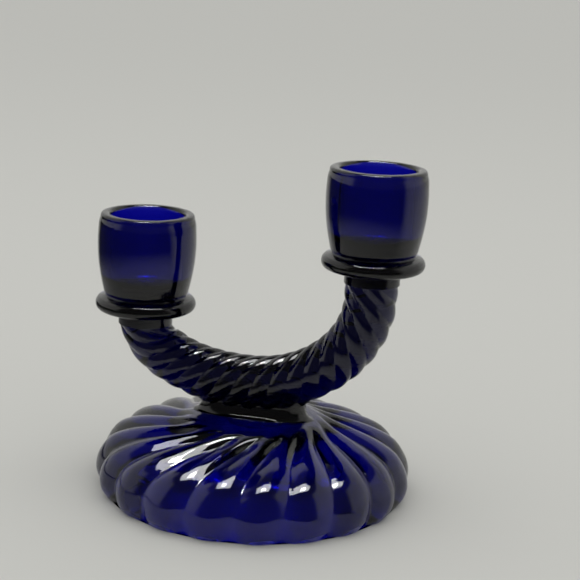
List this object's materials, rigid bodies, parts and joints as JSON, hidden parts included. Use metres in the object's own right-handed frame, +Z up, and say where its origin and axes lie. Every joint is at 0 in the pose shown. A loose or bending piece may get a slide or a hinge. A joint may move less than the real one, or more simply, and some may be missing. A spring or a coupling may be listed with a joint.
{
  "type": "candlestick",
  "caption": "Two-light pressed-glass candlestick: domed foot with swirled lobes, rope-twisted crescent arm and two barrel cups on drip rings, one cup higher than the other.",
  "frame": {"origin": "on the table, midway between the axes of the two cups, which is the centre of the bounding box's bottom", "axes": "+Z up, +X along the arm toward the taller cup, +Y away from the picture's viewer; right-handed"},
  "size_m": [0.1036, 0.0998, 0.1053],
  "materials": {
    "cobalt_glass": "fire-polished, glossy"
  },
  "bodies": {
    "root": {"foot": "cobalt_glass", "web": "cobalt_glass", "arm": "cobalt_glass", "neck_left": "cobalt_glass", "drip_ring_left": "cobalt_glass", "candle_cup_left": "cobalt_glass", "neck_right": "cobalt_glass", "drip_ring_right": "cobalt_glass", "candle_cup_right": "cobalt_glass"}
  },
  "joints": []
}
